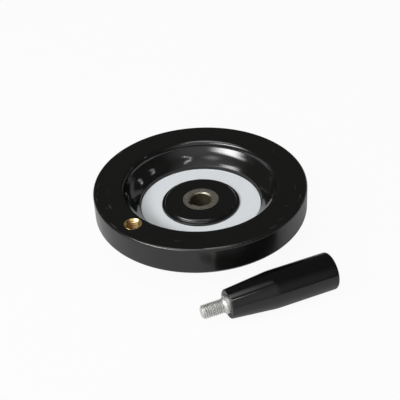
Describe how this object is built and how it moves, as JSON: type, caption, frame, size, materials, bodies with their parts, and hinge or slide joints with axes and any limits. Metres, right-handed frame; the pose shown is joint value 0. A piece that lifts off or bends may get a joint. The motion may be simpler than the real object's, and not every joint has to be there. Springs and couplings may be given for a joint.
{
  "type": "machine handwheel",
  "caption": "Black disc handwheel with a dished face, white trim ring, keyed steel bush and brass insert, with its revolving handle lying beside it.",
  "frame": {"origin": "centre of the shaft bore in the plane of the hub's mounting face, which is also the plane that the wheel and the handle rest on", "axes": "+Z along the shaft bore from the mounting face to the front of the wheel; -Y towards the side where the handle lies"},
  "size_m": [0.1727, 0.1951, 0.042],
  "materials": {
    "black_phenolic": "compression-moulded black phenolic, glossy",
    "turned_steel": "turned and broached steel",
    "white_trim": "white satin plastic",
    "brass": "turned brass",
    "zinc_plated_steel": "turned steel, zinc plated",
    "grip_phenolic": "compression-moulded black phenolic, glossy",
    "washer_steel": "zinc-plated steel",
    "spring_steel": "phosphated spring steel",
    "black_cap": "moulded black plastic"
  },
  "bodies": {
    "wheel": {"wheel_body": "black_phenolic", "hub_bush": "turned_steel", "trim_ring": "white_trim", "threaded_insert": "brass", "handle_spindle": "zinc_plated_steel", "thrust_washer": "washer_steel", "retaining_ring": "spring_steel"},
    "grip": {"grip": "grip_phenolic", "end_cap": "black_cap"}
  },
  "joints": [
    {"name": "grip_spin", "type": "hinge", "parent": "wheel", "child": "grip", "pos_m": [0.0138, -0.1041, 0.0135], "axis": [0.9311, 0.3649, 0], "continuous": true}
  ]
}
